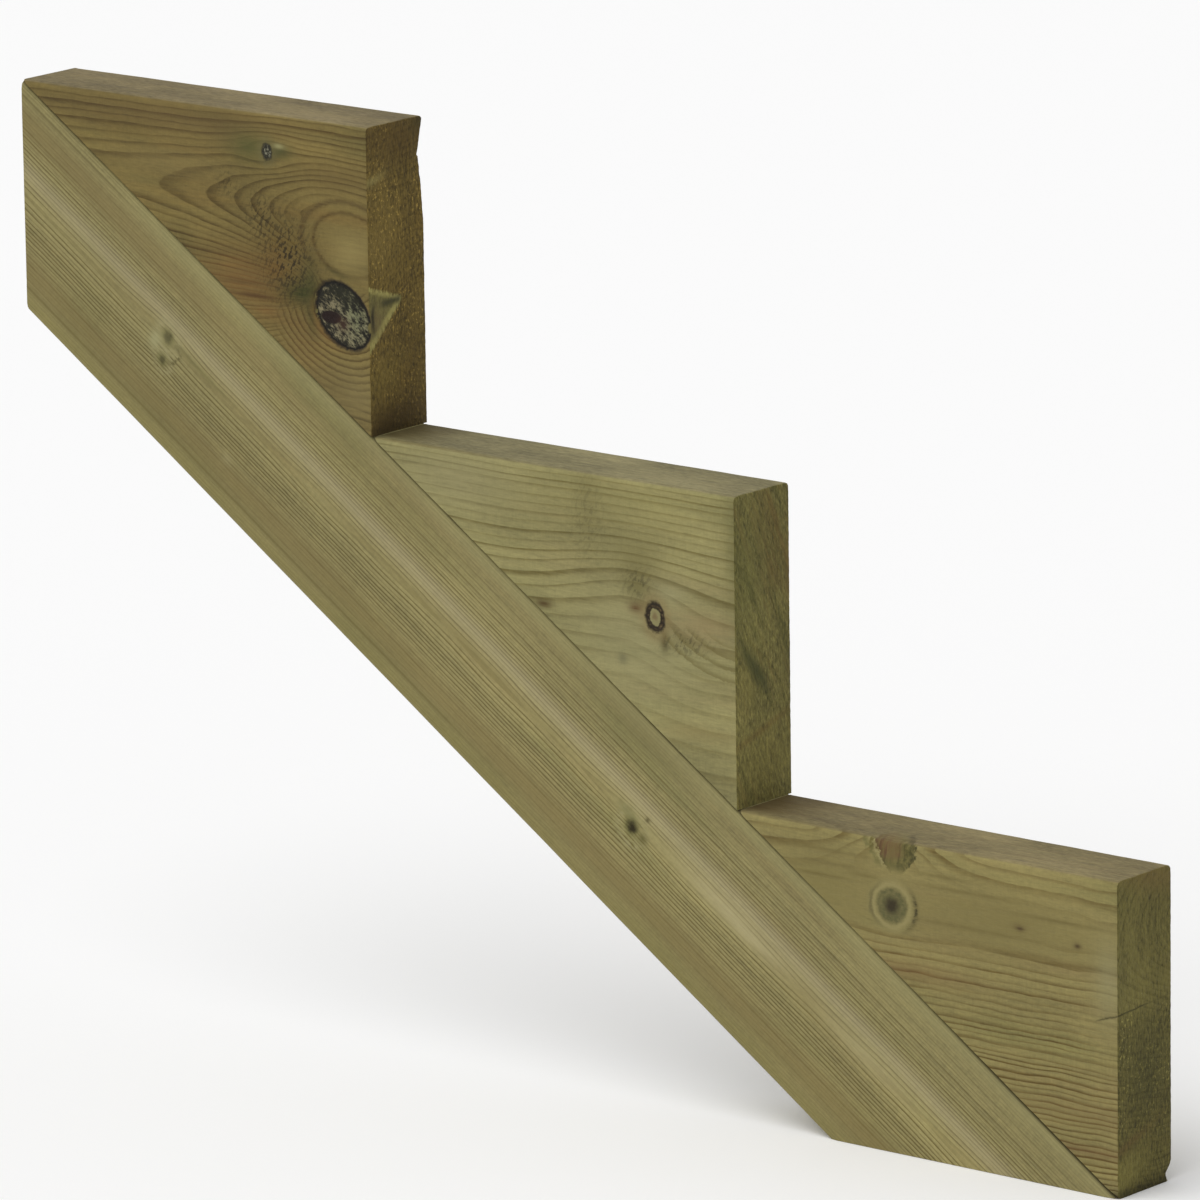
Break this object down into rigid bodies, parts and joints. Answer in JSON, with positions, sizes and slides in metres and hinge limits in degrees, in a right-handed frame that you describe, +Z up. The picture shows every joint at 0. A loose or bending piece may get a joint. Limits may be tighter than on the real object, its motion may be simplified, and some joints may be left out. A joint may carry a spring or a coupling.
{
  "type": "stair stringer",
  "caption": "Built-up timber stair stringer: a sloping carriage board with triangular step blocks screwed along its upper edge, giving level seats for treads and upright faces for risers.",
  "frame": {"origin": "middle of the level-cut foot, on the ground, halfway through the thickness", "axes": "+X down the steps, -Y the side seen in the picture, +Z up"},
  "size_m": [0.75, 0.047, 0.51],
  "materials": {
    "board_timber": "planed, pressure treated, matt",
    "top_block_timber": "planed, pressure treated, matt",
    "middle_block_timber": "planed, pressure treated, matt",
    "bottom_block_timber": "planed, pressure treated, matt",
    "screw_steel": "zinc plated"
  },
  "bodies": {
    "root": {"carriage_board": "board_timber", "top_step_block": "top_block_timber", "middle_step_block": "middle_block_timber", "bottom_step_block": "bottom_block_timber", "block_screws": "screw_steel"}
  },
  "joints": []
}
